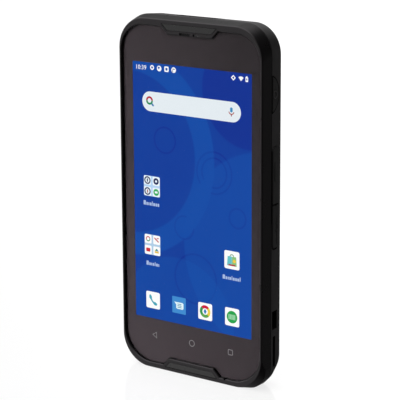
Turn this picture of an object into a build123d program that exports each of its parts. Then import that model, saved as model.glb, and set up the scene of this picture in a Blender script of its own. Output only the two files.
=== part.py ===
from build123d import *
import os

# ---------------------------------------------------------------------------
# Handheld barcode data terminal, millimetres.
# +Z is the height of the upright terminal, the display looks towards -Y,
# +X is to the right when the display is seen from the front.
# Origin: middle of the bottom edge, on the surface that it stands on.
# ---------------------------------------------------------------------------

# driving dimensions
H = 155.0            # height of the front rim
W = 73.8             # width that the inner walls are laid out from
T = 15.1             # thickness, rim to back
R_TOP = 12.7         # corners of the inner layout, top
R_BOT = 14.8         # corners of the inner layout, bottom
YF = -7.6            # plane of the front rim
YB = YF + T          # plane of the back
Y_PART = -1.4        # parting plane between the two housings
# outer outlines: width, top, corner radii top and bottom; the walls run straight between them
RIM = (74.5, 155.0, 13.7, 14.6)
BELT = (75.5, 156.0, 12.4, 9.8)
BACK = (73.4, 155.3, 12.7, 14.9)
# outlines in between that make the corners fuller: place in y, corner radii top and bottom
CHEST = (-4.8, 13.0, 9.3)
FLANK = (3.0, 12.5, 10.9)
WALL = 1.8           # side walls
BACK_WALL = 1.5      # back wall
R_ARRIS = 0.5        # rounding of the front arris
R_BACK = 1.4         # rounding of the back edge
SEAM = 0.22          # chamfers that form the groove at the parting plane
SHAVE = 0.02         # taken off the bottom, which leaves one true flat to stand on

GLASS_HX = 35.7      # cover glass, half width
GLASS_Z0, GLASS_Z1 = 2.83, 151.75
GLASS_R_TOP, GLASS_R_BOT = 11.6, 13.3
GLASS_T = 0.8
GLASS_Y0 = YF + 0.45                 # front face of the glass
GLASS_GAP = 0.45                     # groove round the glass

AA_W, AA_H = 62.1, 113.6             # lit area of the 5 inch display
AA_X, AA_Z = 0.13, 79.04             # its centre
LCD_W, LCD_H = 66.0, 121.0
LCD_X, LCD_Z = 0.1, 79.3

TAB_TOP = (15.2, 11.8, 148.95)       # half widths at the rim and at the tip, tip height
TAB_BOT = (15.1, 12.0, 5.75)

KEY_TRAVEL = 0.35
SCAN_TRAVEL = 0.4
KEY_GAP = 0.28                       # gap round a key in its opening
KEY_PROUD = 0.3

COVER_HX = 29.3                      # battery cover
COVER_Z0, COVER_Z1 = 34.5, 116.5
COVER_R = 5.0
COVER_GAP = 0.16
BAY_HX, BAY_Z0, BAY_Z1 = 28.2, 36.2, 114.8
LATCH_TRAVEL = 2.5

os.makedirs("parts", exist_ok=True)


# ---------------------------------------------------------------------------
# helpers
# ---------------------------------------------------------------------------
def bx(x0, x1, y0, y1, z0, z1):
    return Pos((x0 + x1) / 2, (y0 + y1) / 2, (z0 + z1) / 2) * Box(x1 - x0, y1 - y0, z1 - z0)


def rrect(x0, x1, z0, z1, rt, rb=None):
    rb = rt if rb is None else rb
    s = Pos((x0 + x1) / 2, (z0 + z1) / 2) * Rectangle(x1 - x0, z1 - z0)
    zm = (z0 + z1) / 2
    s = fillet([v for v in s.vertices() if v.Y > zm], rt)
    s = fillet([v for v in s.vertices() if v.Y < zm and
                (abs(v.X - x0) < 1e-6 or abs(v.X - x1) < 1e-6) and abs(v.Y - z0) < 1e-6], rb)
    return s


def outline(off=0.0):
    """Outline that walls and grooves are laid out from, moved inwards by off."""
    return rrect(-W / 2 + off, W / 2 - off, off, H - off, R_TOP - off, R_BOT - off)


def outer(spec, off=0.0):
    """One of the three outer outlines, moved inwards by off."""
    w, top, rt, rb = spec
    return rrect(-w / 2 + off, w / 2 - off, off - SHAVE, top - off, rt - off, rb - off)


def between(spec0, y0, spec1, y1, mid):
    """Outline on the straight walls from one outline to the other, with corners of its own."""
    y, rt, rb = mid
    t = (y - y0) / (y1 - y0)
    return outer((spec0[0] + (spec1[0] - spec0[0]) * t, spec0[1] + (spec1[1] - spec0[1]) * t, rt, rb))


def drafted(sk0, y0, sk1, y1, skm=None, ym=None):
    """Solid with straight walls from one outline to the other, or by way of a third."""
    def face(sk, y):
        return (Plane(origin=(0, y, 0), x_dir=(1, 0, 0), z_dir=(0, -1, 0)) * sk).faces()[0]
    middle = [] if skm is None else [face(skm, ym)]
    return loft([face(sk0, y0)] + middle + [face(sk1, y1)], ruled=True)


def slab(sk, y0, y1):
    """A sketch drawn in x and z, made solid from y0 to y1."""
    return extrude(Plane(origin=(0, y1, 0), x_dir=(1, 0, 0), z_dir=(0, -1, 0)) * sk, amount=y1 - y0)


def side(sk, x0, x1):
    """A sketch drawn in y and z, made solid from x0 to x1."""
    return extrude(Plane(origin=(x0, 0, 0), x_dir=(0, 1, 0), z_dir=(1, 0, 0)) * sk, amount=x1 - x0)


def up(sk, z0, z1):
    """A sketch drawn in x and y, made solid from z0 to z1."""
    return extrude(Plane(origin=(0, 0, z0)) * sk, amount=z1 - z0)


def cyl_y(x, z, r, y0, y1):
    return slab(Pos(x, z) * Circle(r), y0, y1)


def poly(*pts):
    return make_face(Polyline(*pts, close=True))


def mirror_x(s):
    return mirror(s, about=Plane.YZ)


def edges_in_y(part, y, tol=1e-4):
    """Edges that lie wholly in the plane at y."""
    out = []
    for e in part.edges():
        b = e.bounding_box()
        if abs(b.min.Y - y) < tol and abs(b.max.Y - y) < tol:
            out.append(e)
    return out


def save(shape, name):
    shape.label = name
    export_step(shape, "parts/%s.step" % name)


def group(*solids):
    out = []
    for s in solids:
        out += list(s.solids())
    return Compound(children=out)


# ---------------------------------------------------------------------------
# front housing: the bezel, its ledge under the glass and its screw bosses
# ---------------------------------------------------------------------------
def tab(spec, top, off=0.0):
    """Trapezoid tab of the bezel that enters the glass, grown by off; its slopes run on past the rim."""
    a, b, z = spec
    z_rim = 152.45 if top else 2.55
    k = (a - b) / (z_rim - z)                       # sideways step of the slope per mm of height
    grow = off * (1 + k * k) ** 0.5
    z_tip = z - off if top else z + off
    z_far = z_rim + 5 if top else z_rim - 5
    x_tip = b + grow + k * (z_tip - z)
    x_far = b + grow + k * (z_far - z)
    return poly((-x_far, z_far), (-x_tip, z_tip), (x_tip, z_tip), (x_far, z_far))


opening = rrect(-GLASS_HX - GLASS_GAP, GLASS_HX + GLASS_GAP, GLASS_Z0 - GLASS_GAP, GLASS_Z1 + GLASS_GAP,
                GLASS_R_TOP + GLASS_GAP, GLASS_R_BOT + GLASS_GAP)
opening = opening - tab(TAB_TOP, True) - tab(TAB_BOT, False)
glass_sk = rrect(-GLASS_HX, GLASS_HX, GLASS_Z0, GLASS_Z1, GLASS_R_TOP, GLASS_R_BOT)
glass_sk = glass_sk - tab(TAB_TOP, True, GLASS_GAP) - tab(TAB_BOT, False, GLASS_GAP)

LEDGE_Y0, LEDGE_Y1 = -6.0, -4.9

front = drafted(outer(RIM), YF, outer(BELT), Y_PART - SEAM,
                between(RIM, YF, BELT, Y_PART - SEAM, CHEST), CHEST[0])
front = fillet(edges_in_y(front, YF), R_ARRIS)
front += drafted(outer(BELT), Y_PART - SEAM, outer(BELT, SEAM), Y_PART)
front -= bx(-50, 50, -20, 20, -5, 0)
front -= slab(opening, YF - 1, LEDGE_Y0)
# opening for the display panel and the space behind the ledge
lcd_cut = rrect(LCD_X - LCD_W / 2 - 0.3, LCD_X + LCD_W / 2 + 0.3, LCD_Z - LCD_H / 2 - 0.3, LCD_Z + LCD_H / 2 + 0.3, 1.0)
front -= slab(lcd_cut, LEDGE_Y0 - 0.2, LEDGE_Y1 + 0.2)
front -= slab(outline(WALL), LEDGE_Y1, Y_PART + 1)
# slightly rounded inner edge of the rim, round the glass and both tabs
inner = [e for e in edges_in_y(front, YF)
         if max(abs(e.bounding_box().min.X), abs(e.bounding_box().max.X)) < W / 2 - 0.8
         and e.bounding_box().max.Z < H - 0.8 and e.bounding_box().min.Z > 0.8]
front = chamfer(inner, 0.3)
# recesses for the two inlay plates
inlay_top_sk = poly((-14.6, 153.4), (-11.6, 150.4), (11.6, 150.4), (14.6, 153.4))
inlay_bot_sk = poly((-14.3, 1.5), (-11.6, 4.2), (11.6, 4.2), (14.3, 1.5))
front -= slab(inlay_top_sk, YF - 1, YF + 0.4)
front -= slab(inlay_bot_sk, YF - 1, YF + 0.4)
# receiver slot and status light slot in the lower edge of the top tab
RX0, RX1 = -4.9, 0.5
LX0, LX1 = 2.2, 4.5
front -= bx(RX0, RX1, YF - 1, LEDGE_Y1 + 0.1, 148.9, 149.95)
front -= bx(LX0, LX1, YF - 1, LEDGE_Y1 + 0.1, 148.9, 149.95)
# sound hole of the lower microphone, at the groove below the glass
front -= cyl_y(18.0, 2.3, 0.5, YF - 1, LEDGE_Y1 + 0.1)
# slots in the ledge for the two display flexes
front -= bx(-8.6, 8.6, LEDGE_Y0 - 0.1, LEDGE_Y1 + 0.1, 16.6, 19.4)
front -= bx(13.4, 22.6, LEDGE_Y0 - 0.1, LEDGE_Y1 + 0.1, 16.6, 19.4)
# receiver recess in the ledge
front -= bx(-8.2, 4.4, LEDGE_Y0 + 0.25, LEDGE_Y1 + 0.1, 141.3, 149.6)

SCREWS = [(28.4, 145.6), (-28.4, 145.6), (32.2, 112.5), (-32.2, 112.5), (32.2, 50.0), (-32.2, 50.0),
          (22.0, 9.2), (-22.0, 9.2)]
for (sx, sz) in SCREWS:
    boss = cyl_y(sx, sz, 2.3, -2.75, Y_PART)
    if abs(sx) > 30:
        boss += bx(min(sx, sx + (3.3 if sx > 0 else -3.3)), max(sx, sx + (3.3 if sx > 0 else -3.3)),
                   -2.75, Y_PART, sz - 1.2, sz + 1.2)
    elif sz > 100:
        # web from the corner boss to the curved wall
        web = Pos(sx, 0, sz) * Rot(0, -45 if sx > 0 else -135, 0) * (Pos(4.5, 0, 0) * Box(9, 2.15, 2.0))
        web = Pos(0, (-2.75 + Y_PART) / 2, 0) * web
        boss += web & slab(outline(0.9), -2.75, Y_PART)
    else:
        boss += bx(sx - 1.2, sx + 1.2, -2.75, Y_PART, 1.0, sz)
    front += boss & slab(outline(0.9), -2.75, Y_PART)
    front -= cyl_y(sx, sz, 1.0, -2.6, Y_PART + 0.5)
# groove for the housing seal
front -= slab(outline(0.62) - outline(1.22), Y_PART - 0.5, Y_PART + 0.1)
save(front, "front_housing")

seal = slab(outline(0.62) - outline(1.22), Y_PART - 0.5, Y_PART)
save(seal, "housing_seal")

# ---------------------------------------------------------------------------
# cover glass, its black print and adhesive, display, backlight
# ---------------------------------------------------------------------------
glass = slab(glass_sk, GLASS_Y0, GLASS_Y0 + GLASS_T)
glass = chamfer(edges_in_y(glass, GLASS_Y0), 0.18)
save(glass, "cover_glass")

Y_PRINT = GLASS_Y0 + GLASS_T
window = rrect(AA_X - AA_W / 2, AA_X + AA_W / 2, AA_Z - AA_H / 2, AA_Z + AA_H / 2, 0.3)
save(slab(glass_sk - window, Y_PRINT + 0.05, Y_PRINT + 0.1), "glass_border_print")

Y_LCD = Y_PRINT + 0.1
tape_in = rrect(-34.0, 34.0, 17.2, 141.4, 2.0)
tape = slab(rrect(-GLASS_HX + 0.3, GLASS_HX - 0.3, GLASS_Z0 + 0.3, GLASS_Z1 - 0.3, GLASS_R_TOP - 0.3, GLASS_R_BOT - 0.3)
            - tab(TAB_TOP, True, GLASS_GAP + 0.3) - tab(TAB_BOT, False, GLASS_GAP + 0.3) - tape_in, Y_LCD, LEDGE_Y0)
tape -= bx(-8.6, 8.6, -7, -5, 15.8, 19.4)
tape -= bx(13.4, 22.6, -7, -5, 15.8, 19.4)
tape -= bx(RX0 - 1, RX1 + 1, -7, -5, 147.0, 152)
tape -= bx(LX0 - 0.6, LX1 + 1, -7, -5, 147.0, 152)
save(tape, "glass_adhesive_frame")

lcd_sk = rrect(LCD_X - LCD_W / 2, LCD_X + LCD_W / 2, LCD_Z - LCD_H / 2, LCD_Z + LCD_H / 2, 0.5)
save(slab(lcd_sk, Y_LCD, -4.85), "display_panel")
save(slab(lcd_sk, -4.85, -3.55), "backlight_unit")

# ---------------------------------------------------------------------------
# inlay plates on the tabs, with bevelled edges
# ---------------------------------------------------------------------------
top_inlay = slab(poly((-14.07, 153.18), (-11.51, 150.62), (11.51, 150.62), (14.07, 153.18)), YF + 0.04, YF + 0.4)
top_inlay = chamfer(edges_in_y(top_inlay, YF + 0.04), 0.07)
save(top_inlay, "top_inlay_plate")
bot_inlay = slab(poly((-13.77, 1.72), (-11.51, 3.98), (11.51, 3.98), (13.77, 1.72)), YF + 0.04, YF + 0.4)
bot_inlay = chamfer(edges_in_y(bot_inlay, YF + 0.04), 0.07)
save(bot_inlay, "bottom_inlay_plate")

# receiver mesh, status light lens
mesh_sk = Pos((RX0 + RX1) / 2, 149.425) * Rectangle(RX1 - RX0 - 0.05, 1.0)
for i in range(9):
    mesh_sk -= Pos(RX0 + 0.5 + i * 0.55, 149.2 + 0.4 * (i % 2)) * Circle(0.17)
save(slab(mesh_sk, YF + 0.75, YF + 0.95), "receiver_mesh")
save(bx(LX0 + 0.03, LX1 - 0.03, YF + 0.5, YF + 1.6, 148.95, 149.9), "status_light_lens")
# receiver speaker behind the slot
rcv = bx(-8.0, 4.2, LEDGE_Y0 + 0.3, -3.75, 141.6, 149.3)
rcv = fillet(rcv.edges().filter_by(Axis.Y), 1.2)
save(rcv, "receiver_speaker")

# ---------------------------------------------------------------------------
# mid frame: magnesium plate behind the display, pillars for the main board
# ---------------------------------------------------------------------------
mid = slab(outline(WALL + 0.15), -3.55, -2.75)
mid -= bx(-9.0, 9.0, -4, -2, 16.0, 18.2)
mid -= bx(13.0, 23.0, -4, -2, 16.0, 18.2)
mid -= bx(-8.4, 4.6, -4, -2, 141.2, 149.7)
mid -= bx(16.0, 20.0, -4, -2, 2.2, 6.0)
for z0 in (30, 55, 80):
    for x0 in (-24, -11, 14):
        mid -= slab(Pos(x0 + 5, z0 + 8) * RectangleRounded(9, 15, 2), -4, -3.0)
PILLARS = [(-26.5, 100.5), (26.5, 100.5), (-26.5, 131.5), (26.5, 131.5)]
for (px, pz) in PILLARS:
    mid += cyl_y(px, pz, 1.6, -2.75, 0.2)
for (px, pz) in ((-13.5, 5.0), (13.0, 11.0)):
    mid += cyl_y(px, pz, 1.4, -2.75, -0.28)
save(mid, "mid_frame")

# ---------------------------------------------------------------------------
# rear housing
# ---------------------------------------------------------------------------
rear = drafted(outer(BELT), Y_PART + SEAM, outer(BACK), YB,
               between(BELT, Y_PART + SEAM, BACK, YB, FLANK), FLANK[0])
rear = fillet(edges_in_y(rear, YB), R_BACK)
rear += drafted(outer(BELT, SEAM), Y_PART, outer(BELT), Y_PART + SEAM)
rear -= bx(-50, 50, -20, 20, -5, 0)
cavity = slab(outline(WALL), Y_PART - 1, YB - BACK_WALL)
# blocks of the strap anchors in both lower corners
anchor = bx(29.4, 38.5, Y_PART - 2, YB, 7.0, 36.0)
cavity -= anchor
cavity -= mirror_x(anchor)
# screw bosses
for (sx, sz) in SCREWS:
    cavity -= cyl_y(sx, sz, 2.6, Y_PART - 2, YB)
# ledge and wall of the battery bay
bay_in = rrect(-BAY_HX, BAY_HX, BAY_Z0, BAY_Z1, 4.0)
bay_out = rrect(-BAY_HX - 1.0, BAY_HX + 1.0, BAY_Z0 - 1.0, BAY_Z1 + 1.0, 5.0)
ledge_out = rrect(-COVER_HX - 1.4, COVER_HX + 1.4, COVER_Z0 - 1.4, COVER_Z1 + 1.4, 6.2)
cavity -= slab(ledge_out - bay_in, 4.7, YB)
cavity -= slab(bay_out - bay_in, 1.45, 4.8)
rear -= cavity
# opening of the battery cover
cover_open = rrect(-COVER_HX - COVER_GAP, COVER_HX + COVER_GAP, COVER_Z0 - COVER_GAP, COVER_Z1 + COVER_GAP,
                   COVER_R + COVER_GAP)
rear -= slab(cover_open, 5.7, YB + 1)
rear -= slab(bay_in, 1.0, 5.8)
# window in the bay wall for the latch tongue
rear -= bx(-6.5, 6.5, 3.05, 4.65, 34.0, 36.6)
# bevelled edge round the cover opening
rear -= drafted(cover_open, YB - 0.2,
                rrect(-COVER_HX - COVER_GAP - 0.3, COVER_HX + COVER_GAP + 0.3, COVER_Z0 - COVER_GAP - 0.3,
                      COVER_Z1 + COVER_GAP + 0.3, COVER_R + COVER_GAP + 0.3), YB + 0.1)

# strap anchors: window, slot that follows the corner, channel behind the bar
WIN_Y0, WIN_Y1 = -0.3, 4.0
SLOT_Y0, SLOT_Y1 = 0.45, 2.6
win = bx(31.4, 39.0, WIN_Y0, WIN_Y1, 26.0, 34.1)
chan = bx(31.9, 34.0, SLOT_Y0, SLOT_Y1, 19.0, 27.0)
slot = slab(outer(BELT, -1.0) - outline(5.0), SLOT_Y0, SLOT_Y1) & bx(20, 40, -5, 9, 9.3, 22.9)
strap_cut = win + chan + slot
rear -= strap_cut
rear -= mirror_x(strap_cut)

# key openings; each reaches the parting plane at its front side
GAP_F = 0.5          # wide gap along the parting line in front of the long keys


def d_shape(y0, y1, z0, z1, off=0.0):
    """D outline in y and z: flat side at y0, one wide arc towards the back."""
    h = (z1 - z0) / 2 + off
    d = y1 - y0 + 2 * off
    rad = (h * h + d * d) / (2 * d)
    c = y1 + off - rad
    s = Pos(c, (z0 + z1) / 2) * Circle(rad)
    s &= Pos((y0 - off + y1 + off + 1) / 2, (z0 + z1) / 2) * Rectangle(y1 - y0 + 2 * off + 1, 4 * h)
    return s


KY = -0.75                                # front edge of the long keys
KYC = KY + 2.4                            # middle line of the switches
PWR = (KY - 0.12, KY + 5.6, 119.5, 134.8)          # y0, y1, z0, z1
VOL = (KY, KY + 5.35, 80.55, 105.0)
SCN = (KY, KY + 5.35, 61.5, 80.1)
LSC = (KY, KY + 5.35, 79.0, 101.0)        # left scan key


def strip(y0, y1, z0, z1, r, off=0.0):
    return Pos((y0 + y1) / 2, (z0 + z1) / 2) * RectangleRounded(y1 - y0 + 2 * off, z1 - z0 + 2 * off, r + off)


rear -= side(d_shape(*PWR, off=KEY_GAP + 0.14), 34.0, 39.0)
rear -= side(strip(VOL[0], VOL[1], SCN[2] - 0.25, VOL[3], 1.9, off=KEY_GAP), 34.0, 39.0)
rear -= bx(34.0, 39.0, Y_PART - 0.1, KY + 2.0, 72.4, 103.2)
rear -= side(strip(*LSC, 1.9, off=KEY_GAP), -39.0, -34.0)
rear -= bx(-39.0, -34.0, Y_PART - 0.1, KY + 2.0, 81.0, 99.0)

# scan window opening in the top wall
SWX0, SWX1 = -14.9, 9.5
rear -= bx(SWX0, SWX1, 0.55, 6.45, 152.0, 157.0)
# charging port opening in the bottom wall
PORT_Y = 2.1
rear -= up(Pos(0, PORT_Y) * RectangleRounded(9.7, 3.95, 1.9), -1, 3.0)
rear -= loft([(Plane(origin=(0, PORT_Y, -0.1)) * RectangleRounded(10.4, 4.65, 2.25)).faces()[0],
              (Plane(origin=(0, PORT_Y, 0.25)) * RectangleRounded(9.7, 3.95, 1.9)).faces()[0]], ruled=True)
# rear camera window, flash, loudspeaker grille, cradle contacts
CAM_X, CAM_Z = 18.0, 138.4
cam_plate_sk = rrect(4.6, 24.8, 132.2, 144.6, 4.0)
rear -= slab(offset(cam_plate_sk, 0.12), YB - 0.75, YB + 1)
rear -= cyl_y(CAM_X, CAM_Z, 4.5, 5.0, YB)
rear -= cyl_y(8.6, CAM_Z, 1.9, 5.0, YB)
GR = (6.0, 26.0, 18.4, 27.6)
rear -= slab(offset(rrect(*GR, 2.4), 0.08), YB - 0.8, YB + 1)
rear -= slab(rrect(GR[0] + 1.2, GR[1] - 1.2, GR[2] + 1.2, GR[3] - 1.2, 1.4), 5.5, YB)
rear -= slab(rrect(-10.6, 10.6, 7.0, 13.2, 3.0), YB - 0.5, YB + 1)
for i in range(6):
    rear -= cyl_y(-7.5 + 3.0 * i, 10.1, 1.0, 5.5, YB)
# screw holes with counterbores
for (sx, sz) in SCREWS:
    rear -= cyl_y(sx, sz, 2.0, 5.75, YB + 1)
    rear -= cyl_y(sx, sz, 1.1, Y_PART - 1, 6.0)
# finger grooves near both long edges of the back
for sgn in (1, -1):
    for k in range(7):
        zc = 58.5 + 6.6 * k
        g = slab(Pos(sgn * 32.6, zc) * RectangleRounded(2.0, 3.6, 0.99), YB - 0.3, YB + 1)
        rear -= g
save(rear, "rear_housing")

# ---------------------------------------------------------------------------
# side keys
# ---------------------------------------------------------------------------
KX0 = 33.3                                # inner face of the key bodies
KXW = W / 2 - WALL                        # inner side of the wall


def proud(h):
    """Rear housing grown by h, so that outer faces of the keys follow the wall."""
    return drafted(outer(BELT, -h), Y_PART, outer(BACK, -h), YB)


def key_cap(sk, flange_sk, h, r):
    cap = side(sk, KX0 + 0.2, 39.0) & proud(h)
    face = max(cap.faces(), key=lambda f: f.center().X)
    cap = fillet(face.outer_wire().edges(), r)
    return cap + side(flange_sk, KX0, KXW - 0.12)


def mark(sk, h):
    """Raised mark on a key, its top h above the wall."""
    return side(sk, W / 2 - 0.4, 39.0) & proud(h)


def nub(y, z):
    return Pos(KX0 + 0.045, y, z) * Rot(0, 90, 0) * Cylinder(0.7, 0.91)


pwr_key = key_cap(d_shape(*PWR), strip(KY + 0.1, KY + 6.0, PWR[2] - 0.3, PWR[3] + 0.3, 0.5)
                  & d_shape(PWR[0] - 1, PWR[1], PWR[2], PWR[3], off=0.5), 0.12, 0.4)
ring = mark(Pos(KY + 2.3, 126.9) * (Circle(1.75) - Circle(1.3)), 0.24)
ring += mark(Pos(KY + 2.3, 128.3) * Rectangle(0.5, 1.6), 0.24)
pwr_key = pwr_key + ring + nub(KYC, 127.15)
save(pwr_key, "power_key")

vol_sk = Pos(0, 0) * strip(*VOL, 1.9)
vol_sk += Pos(KY + 2.675, 82.0) * Rectangle(5.35, 2.9)     # square lower end, meets the next key
VOL_ZC = (VOL[2] + VOL[3]) / 2           # the rocker's pivot height
vol_key = key_cap(vol_sk, Pos(KY + 2.6, VOL_ZC) * Rectangle(5.9, 6.0), KEY_PROUD, 0.4)
bar = mark(Pos(KY + 2.5, 94.3) * RectangleRounded(1.5, 8.4, 0.7), KEY_PROUD + 0.16)
bar = fillet(max(bar.faces(), key=lambda f: f.center().X).outer_wire().edges(), 0.12)
vol_key = vol_key + bar + nub(KYC, VOL[2] + 4.5) + nub(KYC, VOL[3] - 4.5)
save(vol_key, "volume_rocker")

scn_sk = strip(*SCN, 1.9) + Pos(KY + 2.675, 78.6) * Rectangle(5.35, 3.0)
scn_key = key_cap(scn_sk, Pos(KY + 2.6, (SCN[2] + SCN[3]) / 2) * Rectangle(5.9, SCN[3] - SCN[2] - 0.4), KEY_PROUD, 0.4)
arc = mark(Pos(KY + 2.7, 70.7) * (Circle(1.9) - Circle(1.45)) & Pos(KY + 4.1, 70.7) * Rectangle(2.6, 6.0), KEY_PROUD + 0.15)
line = mark(Pos(KY + 4.1, 69.0) * RectangleRounded(0.4, 12.0, 0.19), KEY_PROUD + 0.12)
scn_key = scn_key + arc + line + nub(KYC, (SCN[2] + SCN[3]) / 2)
save(scn_key, "right_scan_key")

lsc_key = key_cap(strip(*LSC, 1.9), Pos(KY + 2.6, (LSC[2] + LSC[3]) / 2) * Rectangle(5.9, LSC[3] - LSC[2] + 0.9), KEY_PROUD, 0.4)
lbar = mark(Pos(KY + 2.7, 90.0) * RectangleRounded(1.2, 7.0, 0.55), KEY_PROUD + 0.16)
lsc_key = mirror_x(lsc_key + lbar + nub(KYC, 90.0))
save(lsc_key, "left_scan_key")

# brackets and flexes with dome switches behind the keys
BRX = 31.2


def switch_set(z0, z1, domes):
    br = bx(BRX, BRX + 0.6, KY - 0.1, KY + 5.6, z0, z1) + bx(BRX - 0.4, BRX + 0.3, KY + 4.9, KY + 5.6, z0 + 1, z1 - 1)
    fl = bx(BRX + 0.6, BRX + 0.8, KY + 0.2, KY + 5.2, z0 + 0.5, z1 - 0.5)
    for z in domes:
        fl += Pos(BRX + 0.95, KYC, z) * Rot(0, 90, 0) * Cylinder(2.0, 0.34)
    return br, fl


b1, f1 = switch_set(60.0, 108.0, [VOL[2] + 4.5, VOL[3] - 4.5, (SCN[2] + SCN[3]) / 2])
b2, f2 = switch_set(117.5, 137.0, [127.15])
b3, f3 = switch_set(76.0, 104.0, [90.0])
save(group(b1, b2, mirror_x(b3)), "key_brackets")
save(group(f1, f2, mirror_x(f3)), "key_flexes")

# ---------------------------------------------------------------------------
# scan window and engine in the top end
# ---------------------------------------------------------------------------
swf = bx(SWX0 + 0.06, SWX1 - 0.06, 0.61, 6.39, 153.0, 157.0)
swf = fillet(swf.edges().filter_by(Axis.Z), 1.0) & proud(0.04)
swf = chamfer(max(swf.faces(), key=lambda f: f.center().Z).outer_wire().edges(), 0.16)
swf -= up(Pos((SWX0 + SWX1) / 2, 3.5) * RectangleRounded(21.6, 4.3, 0.8), 154.0, 157)
swf -= up(Pos((SWX0 + SWX1) / 2, 3.5) * RectangleRounded(20.4, 3.3, 0.6), 152, 157)
save(swf, "scan_window_frame")
sw = up(Pos((SWX0 + SWX1) / 2, 3.5) * RectangleRounded(21.5, 4.2, 0.75), 154.0, 155.2)
save(sw, "scan_window")

XE = (SWX0 + SWX1) / 2
eng = bx(XE - 10.5, XE + 10.5, -1.2, 5.3, 138.6, 150.6)
eng = fillet(eng.edges().filter_by(Axis.Z), 0.6)
eng -= Pos(XE - 3.2, 2.6, 150.0) * Cylinder(1.9, 2.0)
eng -= Pos(XE + 2.9, 2.6, 150.0) * Cylinder(1.5, 2.0)
eng -= bx(XE + 5.6, XE + 9.6, 1.2, 4.0, 150.2, 151)
eng -= bx(XE - 9.6, XE - 6.2, 1.2, 4.0, 150.2, 151)
save(eng, "scan_engine")
imager = Pos(XE - 3.2, 2.6, 149.7) * Cylinder(1.85, 1.4)
imager = fillet([e for e in imager.edges() if e.bounding_box().min.Z > 150.3], 0.5)
save(imager, "imager_lens")
aimer = Pos(XE + 2.9, 2.6, 149.75) * Cylinder(1.45, 1.5)
aimer = fillet([e for e in aimer.edges() if e.bounding_box().min.Z > 150.4], 0.6)
save(aimer, "aimer_lens")
save(group(bx(XE + 5.7, XE + 9.5, 1.3, 3.9, 150.2, 150.9), bx(XE - 9.5, XE - 6.3, 1.3, 3.9, 150.2, 150.9)),
     "illumination_lamps")
brk = bx(XE - 12.2, XE + 12.2, -2.75, -1.25, 139.5, 149.5)
brk += bx(XE - 12.2, XE - 10.6, -2.75, 3.0, 141.0, 148.0) + bx(XE + 10.6, XE + 12.2, -2.75, 3.0, 141.0, 148.0)
brk -= bx(-8.6, 4.8, -3, -1.9, 141.0, 149.6)
save(brk, "engine_bracket")

# ---------------------------------------------------------------------------
# main board with its parts
# ---------------------------------------------------------------------------
board = slab(rrect(-29.2, 29.2, 98.4, 134.0, 1.5), 0.2, 1.2)
for (px, pz) in PILLARS:
    board -= cyl_y(px, pz, 0.8, 0, 2)
board -= bx(13.2, 22.8, 0, 2, 133.2, 135)
save(board, "main_board")
save(group(fillet(bx(-24, -6, -1.5, 0.2, 112, 130).edges().filter_by(Axis.Y), 0.8),
           fillet(bx(8, 24, -1.5, 0.2, 104, 121).edges().filter_by(Axis.Y), 0.8),
           fillet(bx(-22, 0, 1.2, 2.9, 117, 131).edges().filter_by(Axis.Y), 0.8),
           fillet(bx(3, 24, 1.2, 2.9, 117, 130).edges().filter_by(Axis.Y), 0.8)), "shield_cans")
save(group(bx(9, 12, -1.0, 0.2, 123, 127), bx(14, 17, -1.0, 0.2, 124, 126), bx(-27.5, -25.5, -0.9, 0.2, 110, 118),
           bx(-3.5, 1.5, -0.9, 0.2, 118, 123), bx(25.5, 27.5, -0.8, 0.2, 108, 112)), "board_components")
sim = bx(-23, -7, 1.2, 2.8, 100.2, 113.6)
sim -= bx(-22, -8, 1.5, 2.5, 98, 112.8)
sim -= bx(-19, -11, 2.3, 3.0, 98, 109)
save(sim, "sim_socket")
sdc = bx(3, 17, 1.2, 2.8, 100.2, 113.6)
sdc -= bx(4, 16, 1.5, 2.5, 98, 112.8)
sdc -= bx(6.5, 13.5, 2.3, 3.0, 98, 108)
save(sdc, "memory_card_socket")
bc = bx(-9, 9, 1.2, 4.4, 98.6, 99.9)
save(bc, "battery_contact_block")
save(group(*[bx(-7.2 + 3.2 * i, -6.0 + 3.2 * i, 1.8, 4.0, 97.7, 98.6) for i in range(5)]), "battery_contacts")

# display and touch flexes, from the lower edge of the display to the main board
def flex(x0, x1, conn_z):
    f = bx(x0, x1, -5.3, -5.1, 17.1, LCD_Z - LCD_H / 2)
    f += bx(x0, x1, -5.3, -2.4, 16.9, 17.1)
    f += bx(x0, x1, -2.6, -2.4, 16.9, conn_z)
    f += bx(x0, x1, -2.6, -0.9, conn_z, conn_z + 0.2)
    f += bx(x0, x1, -1.1, -0.9, conn_z, conn_z + 3)
    f += bx(x0 + 0.5, x1 - 0.5, -0.95, 0.2, conn_z + 0.6, conn_z + 2.8)
    return f


save(flex(-7.0, 4.0, 106.0), "display_flex")
save(flex(14.5, 21.5, 99.5), "touch_flex")

# rear camera, window, flash
cam = bx(CAM_X - 4.3, CAM_X + 4.3, 1.9, 4.9, CAM_Z - 4.3, CAM_Z + 4.3)
cam = fillet(cam.edges().filter_by(Axis.Y), 0.7)
cam += cyl_y(CAM_X, CAM_Z, 3.6, 4.8, 6.4)
cam -= cyl_y(CAM_X, CAM_Z, 1.9, 5.6, 7)
save(cam, "rear_camera")
lens = cyl_y(CAM_X, CAM_Z, 1.85, 5.6, 6.2)
lens = fillet([e for e in lens.edges() if e.bounding_box().min.Y > 6.1], 0.4)
save(lens, "rear_camera_lens")
cw = slab(cam_plate_sk, YB - 0.75, YB - 0.02)
cw = chamfer(edges_in_y(cw, YB - 0.02), 0.15)
cw -= cyl_y(CAM_X, CAM_Z, 3.3, YB - 1, YB + 1)
cw -= cyl_y(8.6, CAM_Z, 1.6, YB - 1, YB + 1)
save(cw, "camera_surround")
save(cyl_y(CAM_X, CAM_Z, 3.25, YB - 0.7, YB - 0.15), "camera_window")
fl_l = cyl_y(8.6, CAM_Z, 1.55, 5.9, YB - 0.1)
fl_l = fillet([e for e in fl_l.edges() if e.bounding_box().min.Y > YB - 0.2], 0.3)
save(fl_l, "flash_lens")

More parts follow.
